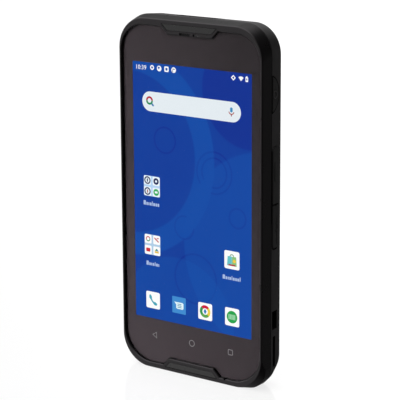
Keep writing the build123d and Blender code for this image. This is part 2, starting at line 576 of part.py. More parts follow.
# vibration motor, carrier of the wireless antenna
vm = cyl_y(-22.5, 140.0, 4.0, -2.75, 0.0)
save(vm, "vibration_motor")
wireless_antenna = bx(13, 23, -0.2, 4.0, 149.0, 152.8) - bx(14, 22, 0.8, 4.1, 148.9, 151.8)

# ---------------------------------------------------------------------------
# lower end: board, charging port, microphone, loudspeaker, contacts, antenna
# ---------------------------------------------------------------------------
lb = bx(-16, 20.5, -0.28, 0.5, 3.4, 13.0)
lb -= cyl_y(22.0, 9.2, 3.0, -1, 1)
save(lb, "lower_board")
port = up(Pos(0, PORT_Y) * RectangleRounded(8.94, 3.2, 1.55), 0.45, 7.8)
port -= up(Pos(0, PORT_Y) * RectangleRounded(8.34, 2.6, 1.25), 0.3, 7.2)
save(port, "charging_port")
tongue = bx(-3.35, 3.35, PORT_Y - 0.35, PORT_Y + 0.35, 1.1, 7.2)
tongue = fillet([e for e in tongue.edges() if abs(e.bounding_box().min.Z - 1.1) < 1e-4 and abs(e.bounding_box().max.Z - 1.1) < 1e-4], 0.15)
save(tongue, "port_tongue")
save(bx(16.4, 19.6, -1.4, -0.28, 3.6, 6.6), "microphone")
spk = bx(5.0, 27.0, 0.9, 5.3, 14.6, 31.5)
spk = fillet(spk.edges().filter_by(Axis.Y), 2.0)
save(spk, "loudspeaker")
grille = slab(rrect(*GR, 2.4), YB - 0.8, YB - 0.04)
grille = chamfer(edges_in_y(grille, YB - 0.04), 0.12)
for r in range(3):
    for c in range(8):
        grille -= slab(Pos(8.3 + 2.2 * c + (1.1 if r % 2 else 0) - 0.3, 20.6 + 2.4 * r) * RectangleRounded(1.3, 0.8, 0.39),
                       YB - 1, YB + 1)
save(grille, "loudspeaker_grille")
cc = slab(rrect(-11.0, 11.0, 7.2, 13.0, 2.0), 4.6, 6.0)
cc += bx(-11.0, 11.0, 0.5, 4.7, 11.4, 13.0)
save(cc, "cradle_contact_carrier")
save(group(*[fillet([e for e in cyl_y(-7.5 + 3.0 * i, 10.1, 0.95, 6.0, YB - 0.25).edges()
                     if e.bounding_box().min.Y > YB - 0.3], 0.2) for i in range(6)]), "cradle_contacts")
main_antenna = bx(-17.5, -9.5, 0.8, 5.6, 1.95, 3.2)
save(group(wireless_antenna, main_antenna), "antenna_carriers")

# ---------------------------------------------------------------------------
# battery, tray, cover and latch
# ---------------------------------------------------------------------------
tray = bx(-27.9, 27.9, -0.7, 0.1, 43.0, 97.2)
for x0 in (-27.9, 25.5):
    tray += bx(x0, x0 + 2.4, -2.75, -0.6, 43.0, 97.2)
save(tray, "battery_tray")

bat = bx(-27.4, 27.4, 0.2, 5.6, 43.8, 97.3)
bat = fillet(bat.edges().filter_by(Axis.Z), 1.6)
bat -= bx(-8.0, 8.0, 1.5, 4.2, 96.6, 98)
# finger notch at the lower end of the pack
bat -= slab(Pos(0, 43.0) * Circle(4.2), 4.4, 6)
save(bat, "battery")
save(group(*[bx(-7.4 + 3.2 * i, -5.8 + 3.2 * i, 1.9, 3.9, 96.6, 96.8) for i in range(5)]), "battery_terminals")

CY0 = 6.15
cover = slab(rrect(-COVER_HX, COVER_HX, COVER_Z0, COVER_Z1, COVER_R), CY0, YB)
cover = chamfer(edges_in_y(cover, YB), 0.25)
# raised pad field with shallow grooves across the middle of the cover
for k in range(5):
    cover -= slab(Pos(0, 66.0 + 7.0 * k) * RectangleRounded(36.0, 1.4, 0.69), YB - 0.35, YB + 1)
# recess and slot of the latch
cover -= slab(rrect(-9.5, 9.5, 37.6, 47.0, 2.0), 6.8, YB + 1)
cover -= bx(-3.3, 3.3, CY0 - 1, YB, 37.9, 43.35)
# groove for the cover seal
seal_sk = rrect(-29.05, 29.05, COVER_Z0 + 0.25, COVER_Z1 - 0.25, 4.7) - rrect(-28.35, 28.35, COVER_Z0 + 0.95, COVER_Z1 - 0.95, 4.0)
save(cover, "battery_cover")
save(slab(seal_sk, 5.76, CY0), "cover_seal")
coil_sk = rrect(-22.0, 22.0, 56.0, 104.0, 4.0) - rrect(-17.5, 17.5, 60.5, 99.5, 2.5)
save(slab(coil_sk, CY0 - 0.2, CY0), "near_field_coil")

latch = slab(rrect(-9.0, 9.0, 40.5, 46.6, 1.7), 6.86, YB - 0.08)
latch = fillet(edges_in_y(latch, YB - 0.08), 0.2)
for k in range(5):
    latch -= bx(-5.2 + 2.4 * k, -4.4 + 2.4 * k, YB - 0.4, YB + 1, 41.6, 45.5)
latch += bx(-3.0, 3.0, 3.4, 6.9, 40.9, 43.1)
latch += bx(-6.0, 6.0, 3.4, 4.4, 36.5, 43.1)
save(latch, "battery_latch")

# ---------------------------------------------------------------------------
# housing screws, from the back
# ---------------------------------------------------------------------------
screws = []
for (sx, sz) in SCREWS:
    s = cyl_y(sx, sz, 1.8, 5.75, 6.95)
    s = chamfer([e for e in s.edges() if e.bounding_box().min.Y > 6.9], 0.25)
    s += cyl_y(sx, sz, 0.95, -2.5, 5.8)
    s -= slab(Pos(sx, sz) * RegularPolygon(0.95, 6), 6.15, 8)
    screws.append(s)
save(group(*screws), "housing_screws")
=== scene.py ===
import math

import bmesh
import bpy
from mathutils import Matrix, Vector


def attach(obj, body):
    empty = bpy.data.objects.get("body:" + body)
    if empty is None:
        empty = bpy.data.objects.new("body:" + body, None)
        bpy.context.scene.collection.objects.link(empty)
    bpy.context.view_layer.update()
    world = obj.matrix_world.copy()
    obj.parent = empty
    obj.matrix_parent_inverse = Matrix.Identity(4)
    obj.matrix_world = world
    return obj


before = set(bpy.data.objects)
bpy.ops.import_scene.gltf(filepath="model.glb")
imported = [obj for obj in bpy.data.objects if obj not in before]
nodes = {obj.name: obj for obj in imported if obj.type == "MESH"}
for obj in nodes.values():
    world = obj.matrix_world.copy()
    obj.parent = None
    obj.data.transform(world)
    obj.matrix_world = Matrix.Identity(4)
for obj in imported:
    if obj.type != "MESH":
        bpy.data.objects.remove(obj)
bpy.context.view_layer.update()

MM = 0.001
scene = bpy.context.scene

# ---------------------------------------------------------------------------
# camera
# ---------------------------------------------------------------------------
cam_data = bpy.data.cameras.new("camera")
cam = bpy.data.objects.new("camera", cam_data)
scene.collection.objects.link(cam)
cam_data.sensor_fit = "HORIZONTAL"
cam_data.sensor_width = 36.0
cam_data.lens = 159.622
cam_data.clip_start, cam_data.clip_end = 0.02, 40.0
cam.matrix_world = Matrix((
    (0.8054254066, -0.1355156218, 0.5769969070, 0.4385110),
    (0.5926765488, 0.1922650968, -0.7821564045, -0.5945522),
    (-0.0049419546, 0.9719411756, 0.2351721248, 0.2562539),
    (0, 0, 0, 1)))
scene.camera = cam
scene.view_settings.view_transform = "Standard"
scene.view_settings.look = "None"
scene.view_settings.exposure = 0.0
scene.view_settings.gamma = 1.0


# ---------------------------------------------------------------------------
# node helpers
# ---------------------------------------------------------------------------
def srgb(r, g, b):
    def lin(v):
        v /= 255.0
        return v / 12.92 if v <= 0.04045 else ((v + 0.055) / 1.055) ** 2.4
    return (lin(r), lin(g), lin(b))


class Shader:
    """A Principled material with its nodes, in object coordinates, which are the part's own, in metres."""

    def __init__(self, name):
        self.m = bpy.data.materials.new(name)
        self.m.use_nodes = True
        self.nt = self.m.node_tree
        self.nt.nodes.clear()
        self.out = self.nt.nodes.new("ShaderNodeOutputMaterial")
        self.b = self.nt.nodes.new("ShaderNodeBsdfPrincipled")
        self.nt.links.new(self.b.outputs["BSDF"], self.out.inputs["Surface"])
        self.co = self.nt.nodes.new("ShaderNodeTexCoord").outputs["Object"]

    def node(self, kind, **props):
        n = self.nt.nodes.new(kind)
        for k, v in props.items():
            setattr(n, k, v)
        return n

    def put(self, socket, value):
        if isinstance(value, bpy.types.NodeSocket):
            self.nt.links.new(value, socket)
        elif value is not None:
            if hasattr(value, "__len__") and len(value) == 3 and socket.type == "RGBA":
                value = (*value, 1.0)
            socket.default_value = value

    def set(self, **values):
        """Socket values of the Principled shader, by its socket names with _ for spaces."""
        for k, v in values.items():
            self.put(self.b.inputs[k.replace("_", " ")], v)
        return self

    def stretch(self, sx, sy, sz, rot=(0, 0, 0)):
        n = self.node("ShaderNodeMapping")
        self.put(n.inputs["Vector"], self.co)
        n.inputs["Scale"].default_value = (sx, sy, sz)
        n.inputs["Rotation"].default_value = rot
        return n.outputs["Vector"]

    def noise(self, scale, detail=2.0, rough=0.5, vec=None):
        n = self.node("ShaderNodeTexNoise")
        self.put(n.inputs["Vector"], vec or self.co)
        n.inputs["Scale"].default_value = scale
        n.inputs["Detail"].default_value = detail
        n.inputs["Roughness"].default_value = rough
        return n.outputs["Fac"]

    def cells(self, scale, vec=None, feature="F1"):
        n = self.node("ShaderNodeTexVoronoi", feature=feature)
        self.put(n.inputs["Vector"], vec or self.co)
        n.inputs["Scale"].default_value = scale
        return n.outputs["Distance"]

    def wave(self, scale, direction="X", distortion=0.0, vec=None):
        n = self.node("ShaderNodeTexWave", wave_type="BANDS", bands_direction=direction)
        self.put(n.inputs["Vector"], vec or self.co)
        n.inputs["Scale"].default_value = scale
        n.inputs["Distortion"].default_value = distortion
        return n.outputs["Fac"]

    def span(self, fac, lo, hi, a, b, smooth=False):
        n = self.node("ShaderNodeMapRange")
        if smooth:
            n.interpolation_type = "SMOOTHSTEP"
        for i, v in enumerate((fac, lo, hi, a, b)):
            self.put(n.inputs[i], v)
        return n.outputs["Result"]

    def mix(self, fac, a, b, blend="MIX"):
        n = self.node("ShaderNodeMix", data_type="RGBA", blend_type=blend)
        self.put(n.inputs[0], fac)
        self.put(n.inputs[6], a)
        self.put(n.inputs[7], b)
        return n.outputs[2]

    def math(self, op, a, b=None, c=None):
        n = self.node("ShaderNodeMath", operation=op)
        for i, v in enumerate((a, b, c)):
            if v is not None:
                self.put(n.inputs[i], v)
        return n.outputs[0]

    def xyz(self):
        n = self.node("ShaderNodeSeparateXYZ")
        self.put(n.inputs[0], self.co)
        return n.outputs[0], n.outputs[1], n.outputs[2]

    def distance(self, x, z, sx=1.0, sz=1.0):
        """Distance in metres, in x and z, from a point given in mm."""
        X, _, Z = self.xyz()
        c = self.node("ShaderNodeCombineXYZ")
        self.put(c.inputs[0], self.math("MULTIPLY_ADD", X, sx, -x * MM * sx))
        self.put(c.inputs[2], self.math("MULTIPLY_ADD", Z, sz, -z * MM * sz))
        n = self.node("ShaderNodeVectorMath", operation="LENGTH")
        self.put(n.inputs[0], c.outputs[0])
        return n.outputs["Value"]

    def bump(self, height, distance, strength=1.0):
        n = self.node("ShaderNodeBump")
        n.inputs["Strength"].default_value = strength
        n.inputs["Distance"].default_value = distance
        self.put(n.inputs["Height"], height)
        self.put(self.b.inputs["Normal"], n.outputs["Normal"])
        return self


def shade(c, k):
    return tuple(min(1.0, v * k) for v in c)


def moulded(name, base, rough, grain=0.22, depth=0.010, mottle=0.14, rough_var=0.05, spec=0.5, fine=None, sheen=0.0,
            tint=(1.0, 1.0, 1.0)):
    """Moulded plastic or rubber: eroded grain of a few tenths of a millimetre, with faint clouds in colour and gloss."""
    s = Shader(name)
    cloud = s.noise(70.0, 3.0, 0.6)
    speck = s.noise(1.0 / (grain * 2.6 * MM), 2.0, 0.5)
    f = s.math("MULTIPLY_ADD", speck, 0.45, s.math("MULTIPLY", cloud, 0.55))
    s.set(Base_Color=s.mix(s.span(f, 0.3, 0.7, 0.0, 1.0), shade(base, 1 - mottle), shade(base, 1 + mottle)),
          Roughness=s.span(s.noise(140.0, 4.0, 0.6), 0.3, 0.7, rough - rough_var, rough + rough_var),
          Specular_IOR_Level=spec, Specular_Tint=tint)
    if sheen:
        s.set(Sheen_Weight=sheen, Sheen_Roughness=0.4)
    pits = s.cells(1.0 / (grain * MM), None, "SMOOTH_F1")
    h = s.math("MULTIPLY_ADD", s.noise(1.0 / (grain * MM), 3.0, 0.6), 0.6, s.math("MULTIPLY", pits, 0.5))
    s.bump(h, depth * MM)
    return s.m


def key_rubber_with_painted_highlight():
    """Rubber of the power key, its raised ring coloured a little lighter: a painted highlight of light catching the
    ring.
    """
    m = moulded("power_key_rubber", (0.0165, 0.0160, 0.0161), 0.50, grain=0.16, depth=0.006, mottle=0.10, sheen=0.05)
    s = Shader.__new__(Shader)
    s.m, s.nt = m, m.node_tree
    s.b = next(n for n in s.nt.nodes if n.type == "BSDF_PRINCIPLED")
    s.co = next(n for n in s.nt.nodes if n.type == "TEX_COORD").outputs["Object"]
    _, y, z = s.xyz()
    c = s.node("ShaderNodeCombineXYZ")
    s.put(c.inputs[1], s.math("ADD", y, -1.55 * MM))
    s.put(c.inputs[2], s.math("ADD", z, -126.9 * MM))
    d = s.node("ShaderNodeVectorMath", operation="LENGTH")
    s.put(d.inputs[0], c.outputs[0])
    r = d.outputs["Value"]
    # painted highlight: the raised ring between radii 1.25 and 1.85 mm is coloured lighter than the rubber
    ring = s.math("MULTIPLY", s.span(r, 1.20 * MM, 1.30 * MM, 0.0, 1.0), s.span(r, 1.75 * MM, 1.85 * MM, 1.0, 0.0))
    old = s.b.inputs["Base Color"].links[0].from_socket
    s.set(Base_Color=s.mix(ring, old, (0.125, 0.118, 0.121)))
    return m


def metal(name, base, rough, brush=None, depth=0.002, tarnish=0.12, rough_var=0.06):
    """Metal with a fine brushed or drawn grain along one axis and faint tarnish."""
    s = Shader(name)
    vec = s.stretch(*(brush or (1, 1, 1)))
    fine = s.noise(9000.0, 2.0, 0.5, vec)
    cloud = s.noise(260.0, 4.0, 0.6)
    s.set(Base_Color=s.mix(s.span(cloud, 0.35, 0.7, 0.0, 1.0), base, shade(base, 1 - tarnish)), Metallic=1.0,
          Roughness=s.span(s.math("MULTIPLY_ADD", fine, 0.6, s.math("MULTIPLY", cloud, 0.4)), 0.3, 0.7,
                           rough - rough_var, rough + rough_var))
    s.bump(fine, depth * MM)
    return s.m


# ---------------------------------------------------------------------------
# materials
# ---------------------------------------------------------------------------
M = {}
M["bezel"] = moulded("bezel_black_satin", (0.0082, 0.0077, 0.0080), 0.30, grain=0.20, depth=0.004, mottle=0.12,
                     tint=(1.0, 0.93, 0.985))
M["rear"] = moulded("rear_black_texture", (0.0185, 0.0173, 0.0177), 0.42, grain=0.30, depth=0.010, mottle=0.14,
                    tint=(1.0, 0.94, 0.985))
M["cover"] = moulded("battery_cover_texture", (0.0215, 0.0208, 0.0210), 0.46, grain=0.30, depth=0.014, mottle=0.14)
M["key"] = moulded("key_black_rubber", (0.0165, 0.0160, 0.0161), 0.50, grain=0.16, depth=0.006, mottle=0.10, sheen=0.05)
M["power_key"] = key_rubber_with_painted_highlight()
M["latch"] = moulded("latch_dark_grey", (0.040, 0.040, 0.042), 0.45, grain=0.18, depth=0.006)
M["black_part"] = moulded("component_black", (0.018, 0.018, 0.019), 0.50, grain=0.12, depth=0.004)
M["foam"] = moulded("foam_tape_black", (0.012, 0.012, 0.012), 0.85, grain=0.10, depth=0.020, mottle=0.3, spec=0.3)
M["seal"] = moulded("seal_silicone_red", (0.20, 0.032, 0.022), 0.45, grain=0.20, depth=0.004, mottle=0.10)
M["frame_satin"] = moulded("scan_frame_satin", (0.012, 0.012, 0.0125), 0.34, grain=0.14, depth=0.003, mottle=0.10)
M["carrier"] = moulded("antenna_carrier", (0.055, 0.055, 0.058), 0.5, grain=0.15, depth=0.004)
M["film"] = moulded("reflector_film_white", (0.80, 0.80, 0.78), 0.35, grain=0.4, depth=0.002, mottle=0.03)

M["steel"] = metal("nickel_plated_steel", (0.60, 0.59, 0.57), 0.30, brush=(0.12, 1, 1))
M["can"] = metal("tinned_shield", (0.66, 0.66, 0.65), 0.36, brush=(0.08, 1, 1), tarnish=0.2)
M["gold"] = metal("gold_plated_contact", (0.90, 0.64, 0.27), 0.24, tarnish=0.15)
M["screw"] = metal("screw_black_oxide", (0.085, 0.082, 0.080), 0.36, tarnish=0.3, rough_var=0.1)
M["magnesium"] = metal("magnesium_cast", (0.42, 0.43, 0.43), 0.52, depth=0.010, tarnish=0.2, rough_var=0.1)
M["mesh"] = metal("receiver_mesh_black", (0.030, 0.030, 0.031), 0.45, depth=0.003)
M["grille"] = metal("grille_black_steel", (0.040, 0.040, 0.042), 0.42, brush=(0.2, 1, 1), depth=0.002)


def inlay(name, base, rough):
    s = Shader(name)
    line = s.noise(5200.0, 3.0, 0.55, s.stretch(0.05, 1, 1))
    cloud = s.noise(110.0, 3.0, 0.6)
    s.set(Base_Color=s.mix(s.span(line, 0.3, 0.7, 0.0, 1.0), shade(base, 0.78), shade(base, 1.22)),
          Roughness=s.span(cloud, 0.3, 0.7, rough - 0.05, rough + 0.05), Specular_IOR_Level=0.6)
    s.bump(line, 0.003 * MM)
    return s.m


M["inlay_top"] = inlay("inlay_plate_black", (0.014, 0.0136, 0.014), 0.26)
M["inlay_bottom"] = inlay("inlay_plate_graphite", (0.030, 0.0288, 0.0290), 0.30)


def glass(name, tint, ior, rough0, rough1):
    s = Shader(name)
    smudge = s.noise(45.0, 4.0, 0.65)
    s.set(Base_Color=s.mix(s.span(smudge, 0.3, 0.7, 0.0, 1.0), tint, shade(tint, 0.985)), Transmission_Weight=1.0,
          IOR=ior, Roughness=s.span(smudge, 0.4, 0.75, rough0, rough1))
    return s.m


def cover_glass():
    """Coated glass: almost no reflection face on, more towards grazing."""
    m = glass("cover_glass_coated", (1.0, 1.0, 1.0), 1.15, 0.0, 0.012)
    slant = m.node_tree.nodes.new("ShaderNodeLayerWeight")
    cube = m.node_tree.nodes.new("ShaderNodeMath")
    cube.operation = "POWER"
    cube.inputs[1].default_value = 3.0
    ior = m.node_tree.nodes.new("ShaderNodeMath")
    ior.operation = "MULTIPLY_ADD"
    ior.inputs[1].default_value = 0.25
    ior.inputs[2].default_value = 1.001
    b = next(n for n in m.node_tree.nodes if n.type == "BSDF_PRINCIPLED")
    m.node_tree.links.new(slant.outputs["Facing"], cube.inputs[0])
    m.node_tree.links.new(cube.outputs[0], ior.inputs[0])
    m.node_tree.links.new(ior.outputs[0], b.inputs["IOR"])
    return m


M["glass"] = cover_glass()
M["lens"] = glass("lens_coated", (0.80, 0.82, 0.95), 1.55, 0.0, 0.01)
M["window"] = glass("scan_window_red", (0.42, 0.035, 0.03), 1.50, 0.0, 0.02)
M["clear"] = glass("light_pipe_smoked", (0.30, 0.30, 0.32), 1.46, 0.10, 0.18)
M["flash"] = glass("flash_lens_frosted", (0.95, 0.92, 0.80), 1.46, 0.25, 0.35)


def border_print():
    s = Shader("glass_border_print")
    cloud = s.noise(60.0, 3.0, 0.6)
    x, _, z = s.xyz()
    # painted light: the print's colour is made lighter towards the lower left and darker towards the upper right,
    # standing in for light falling from the lower left
    painted_light_slope = s.math("MULTIPLY_ADD", z, -3.5, s.math("MULTIPLY_ADD", x, -8.0, 1.33))
    painted_light_and_mottle = s.math("MULTIPLY", painted_light_slope, s.span(cloud, 0.3, 0.7, 0.97, 1.03))
    grey = s.node("ShaderNodeVectorMath", operation="SCALE")
    grey.inputs[0].default_value = (0.0835, 0.0646, 0.0742)
    s.put(grey.inputs["Scale"], painted_light_and_mottle)
    s.set(Base_Color=grey.outputs[0], Roughness=s.span(s.noise(900.0, 2.0), 0.3, 0.7, 0.42, 0.50), Specular_IOR_Level=0.25)
    s.bump(s.noise(6000.0, 2.0), 0.001 * MM)
    return s.m


M["print"] = border_print()


def wallpaper():
    """Lit display: blue ground with large soft arcs, slightly lighter and darker."""
    s = Shader("display_wallpaper")
    def disc(x, z, r, soft, sx=1.0, sz=1.0):
        return s.span(s.distance(x, z, sx, sz), (r - soft) * MM, (r + soft) * MM, 1.0, 0.0, True)
    a = disc(-34.0, 96.0, 46.0, 0.6)
    b = disc(-34.0, 96.0, 36.0, 0.6)
    ring = s.math("SUBTRACT", a, b)
    c = disc(40.0, 60.0, 44.0, 0.6)
    d = disc(30.0, 128.0, 24.0, 0.6)
    e = disc(-8.0, 22.0, 30.0, 0.6)
    up = s.math("ADD", s.math("MULTIPLY", ring, 0.55), s.math("ADD", s.math("MULTIPLY", c, 0.40), s.math("MULTIPLY", e, 0.35)))
    f = s.math("SUBTRACT", s.math("ADD", up, 0.40), s.math("MULTIPLY", d, 0.45))
    f = s.math("ADD", f, s.math("MULTIPLY_ADD", s.noise(30.0, 2.0), 0.3, -0.15))
    for x, z, r in ((12.0, 92.0, 9.0), (12.0, 92.0, 6.4), (-4.0, 66.0, 5.0), (2.0, 44.0, 11.0), (24.0, 74.0, 4.2), (-14.0, 103.0, 5.6)):
        d1 = s.distance(x, z)
        thin = s.math("MULTIPLY", s.span(d1, (r - 0.55) * MM, (r - 0.25) * MM, 0.0, 1.0), s.span(d1, (r + 0.25) * MM, (r + 0.55) * MM, 1.0, 0.0))
        f = s.math("SUBTRACT", f, s.math("MULTIPLY", thin, 0.35))
    deep, light = srgb(22, 52, 146), srgb(24, 77, 166)
    s.set(Base_Color=s.mix(s.noise(400.0, 2.0), (0.004, 0.004, 0.005), (0.006, 0.006, 0.007)), Roughness=0.35,
          Specular_IOR_Level=0.0, Emission_Color=s.mix(f, deep, light), Emission_Strength=1.0)
    return s.m


M["display"] = wallpaper()


def board(name):
    s = Shader(name)
    tr1 = s.wave(620.0, "X", 2.2)
    tr2 = s.wave(480.0, "Z", 2.6)
    traces = s.math("MAXIMUM", s.span(tr1, 0.80, 0.90, 0.0, 1.0), s.span(tr2, 0.82, 0.92, 0.0, 1.0))
    vias = s.span(s.cells(560.0), 0.10, 0.16, 1.0, 0.0)
    green = s.mix(traces, (0.010, 0.085, 0.040), (0.020, 0.150, 0.070))
    s.set(Base_Color=s.mix(vias, green, (0.60, 0.45, 0.20)), Roughness=s.span(s.noise(300.0, 3.0), 0.3, 0.7, 0.26, 0.36),
          Metallic=s.span(vias, 0.4, 0.9, 0.0, 0.8))
    s.bump(s.math("MAXIMUM", traces, vias), 0.02 * MM)
    return s.m


M["board"] = board("board_solder_mask")


def flexible():
    s = Shader("flex_polyimide")
    lines = s.span(s.wave(900.0, "X", 0.0), 0.45, 0.6, 0.0, 1.0)
    s.set(Base_Color=s.mix(lines, (0.42, 0.20, 0.035), (0.62, 0.33, 0.09)), Roughness=s.span(s.noise(200.0), 0.3, 0.7, 0.25, 0.35))
    s.bump(lines, 0.01 * MM)
    return s.m


M["flex"] = flexible()


def coil():
    s = Shader("coil_copper_film")
    turns = s.span(s.wave(700.0, "DIAGONAL", 0.0), 0.4, 0.6, 0.0, 1.0)
    s.set(Base_Color=s.mix(turns, (0.02, 0.02, 0.021), (0.55, 0.25, 0.12)), Metallic=s.span(turns, 0.0, 1.0, 0.0, 0.9),
          Roughness=s.span(s.noise(200.0), 0.3, 0.7, 0.3, 0.42))
    return s.m


M["coil"] = coil()


def battery_wrap():
    s = Shader("battery_sleeve")
    cloud = s.noise(50.0, 4.0, 0.6)
    fine = s.noise(2600.0, 2.0)
    s.set(Base_Color=s.mix(s.span(cloud, 0.3, 0.7, 0.0, 1.0), (0.026, 0.026, 0.028), (0.036, 0.036, 0.038)),
          Roughness=s.span(cloud, 0.3, 0.7, 0.38, 0.48), Specular_IOR_Level=0.5)
    s.bump(fine, 0.008 * MM)
    return s.m


M["battery"] = battery_wrap()


def lamp():
    s = Shader("lamp_phosphor")
    d = s.cells(900.0)
    s.set(Base_Color=s.mix(s.span(d, 0.2, 0.5, 0.0, 1.0), (0.80, 0.62, 0.10), (0.72, 0.70, 0.60)), Roughness=s.span(d, 0.2, 0.6, 0.2, 0.4))
    return s.m


M["lamp"] = lamp()

LOOK = {
    "bezel": ["front_housing"],
    "rear": ["rear_housing"],
    "cover": ["battery_cover"],
    "key": ["volume_rocker", "right_scan_key", "left_scan_key"],
    "power_key": ["power_key"],
    "latch": ["battery_latch"],
    "glass": ["cover_glass"],
    "print": ["glass_border_print"],
    "foam": ["glass_adhesive_frame"],
    "display": ["display_panel"],
    "film": ["backlight_unit"],
    "inlay_top": ["top_inlay_plate"],
    "inlay_bottom": ["bottom_inlay_plate"],
    "mesh": ["receiver_mesh"],
    "clear": ["status_light_lens"],
    "black_part": ["receiver_speaker", "scan_engine", "battery_contact_block", "rear_camera", "cradle_contact_carrier",
                   "loudspeaker", "port_tongue", "battery_tray", "board_components"],
    "frame_satin": ["scan_window_frame", "camera_surround"],
    "window": ["scan_window"],
    "lens": ["imager_lens", "aimer_lens", "rear_camera_lens", "camera_window"],
    "flash": ["flash_lens"],
    "lamp": ["illumination_lamps"],
    "magnesium": ["mid_frame"],
    "steel": ["engine_bracket", "key_brackets", "charging_port", "vibration_motor", "microphone", "sim_socket", "memory_card_socket"],
    "can": ["shield_cans"],
    "gold": ["battery_contacts", "battery_terminals", "cradle_contacts"],
    "screw": ["housing_screws"],
    "grille": ["loudspeaker_grille"],
    "board": ["main_board", "lower_board"],
    "flex": ["display_flex", "touch_flex", "key_flexes"],
    "coil": ["near_field_coil"],
    "battery": ["battery"],
    "carrier": ["antenna_carriers"],
    "seal": ["housing_seal", "cover_seal"],
}
for key, names in LOOK.items():
    for name in names:
        obj = nodes[name]
        obj.data.materials.clear()
        obj.data.materials.append(M[key])


# ---------------------------------------------------------------------------
# flat shapes, drawn in x and z in millimetres
# ---------------------------------------------------------------------------
def ellipse(cx, cz, rx, rz=None, n=40, a0=0.0, a1=360.0):
    rz = rx if rz is None else rz
    full = abs(a1 - a0) >= 359.9
    k = n if full else n + 1
    return [(cx + rx * math.cos(math.radians(a0 + (a1 - a0) * i / n)), cz + rz * math.sin(math.radians(a0 + (a1 - a0) * i / n)))
            for i in range(k)]


def rrect(x0, x1, z0, z1, r, n=6):
    r = min(r, (x1 - x0) / 2 - 1e-4, (z1 - z0) / 2 - 1e-4)
    pts = []
    for cx, cz, a in ((x1 - r, z1 - r, 0), (x0 + r, z1 - r, 90), (x0 + r, z0 + r, 180), (x1 - r, z0 + r, 270)):
        for i in range(n + 1):
            t = math.radians(a + 90.0 * i / n)
            pts.append((cx + r * math.cos(t), cz + r * math.sin(t)))
    return pts


def stroke(points, widths, cap=5):
    """Outline of a line of changing width, with round ends."""
    if not hasattr(widths, "__len__"):
        widths = [widths] * len(points)
    P = [Vector(p) for p in points]
    T = []
    for i in range(len(P)):
        t = (P[min(i + 1, len(P) - 1)] - P[max(i - 1, 0)]).normalized()
        T.append(t)
    N = [Vector((-t.y, t.x)) for t in T]
    left = [P[i] + N[i] * widths[i] / 2 for i in range(len(P))]
    right = [P[i] - N[i] * widths[i] / 2 for i in range(len(P))]

    def around(c, start, r):
        a = math.atan2(start.y, start.x)
        return [c + Vector((math.cos(a - math.pi * k / cap), math.sin(a - math.pi * k / cap))) * r for k in range(1, cap)]

    out = left + around(P[-1], N[-1], widths[-1] / 2) + right[::-1] + around(P[0], -N[0], widths[0] / 2)
    return [(p.x, p.y) for p in out]


def arc_points(cx, cz, r, a0, a1, n=16):
    return [(cx + r * math.cos(math.radians(a0 + (a1 - a0) * i / n)), cz + r * math.sin(math.radians(a0 + (a1 - a0) * i / n)))
            for i in range(n + 1)]


class Sheet:
    """Flat closed slabs at set depths, gathered in one mesh; the front faces look towards -Y."""

    def __init__(self, name):
        self.name, self.bm, self.mats = name, bmesh.new(), []

    def _mat(self, mat):
        if mat not in self.mats:
            self.mats.append(mat)
        return self.mats.index(mat)

    def _loop(self, pts, y):
        return [self.bm.verts.new((x * MM, y * MM, z * MM)) for x, z in pts]

    def solid(self, pts, level, mat):
        y0, y1 = level
        k = self._mat(mat)
        f, b = self._loop(pts, y0), self._loop(pts, y1)
        faces = [self.bm.faces.new(f), self.bm.faces.new(b[::-1])]
        n = len(pts)
        for i in range(n):
            j = (i + 1) % n
            faces.append(self.bm.faces.new((f[j], f[i], b[i], b[j])))
        for q in faces:
            q.material_index = k
        return self

    def ring(self, outer, inner, level, mat):
        """Both loops have the same number of points."""
        y0, y1 = level
        k = self._mat(mat)
        fo, fi, bo, bi = self._loop(outer, y0), self._loop(inner, y0), self._loop(outer, y1), self._loop(inner, y1)
        n = len(outer)
        for i in range(n):
            j = (i + 1) % n
            for q in ((fo[i], fo[j], fi[j], fi[i]), (bo[j], bo[i], bi[i], bi[j]),
                      (fo[j], fo[i], bo[i], bo[j]), (fi[i], fi[j], bi[j], bi[i])):
                self.bm.faces.new(q).material_index = k
        return self

    def make(self, body="housing"):
        bmesh.ops.recalc_face_normals(self.bm, faces=self.bm.faces)
        me = bpy.data.meshes.new(self.name)
        self.bm.to_mesh(me)
        self.bm.free()
        for mat in self.mats:
            me.materials.append(mat)
        ob = bpy.data.objects.new(self.name, me)
        scene.collection.objects.link(ob)
        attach(ob, body)
        return ob


_lit = {}


def lit(r, g, b):
    """Lit picture colour on the display, with a very faint ripple of the panel's pixels."""
    key = (r, g, b)
    if key not in _lit:
        s = Shader("screen_%d_%d_%d" % key)
        c = srgb(r, g, b)
        ripple = s.math("MULTIPLY_ADD", s.noise(2200.0, 1.0), 0.7, s.math("MULTIPLY", s.noise(90.0, 1.0), 0.3))
        s.set(Base_Color=s.mix(ripple, (0.003, 0.003, 0.003), (0.006, 0.006, 0.006)), Roughness=0.35, Specular_IOR_Level=0.0,
              Emission_Color=s.mix(s.span(ripple, 0.35, 0.65, 0.0, 1.0), shade(c, 0.975), shade(c, 1.01)), Emission_Strength=1.0)
        _lit[key] = s.m
    return _lit[key]


L1, L2, L3 = (-6.272, -6.264), (-6.298, -6.290), (-6.324, -6.316)
WHITE = lit(255, 255, 255)
NAVY = lit(40, 48, 92)
GREEN = lit(56, 172, 92)
TEAL = lit(62, 164, 186)
RED = lit(204, 44, 62)
YELLOW = lit(248, 204, 70)
BLUE = lit(64, 140, 226)

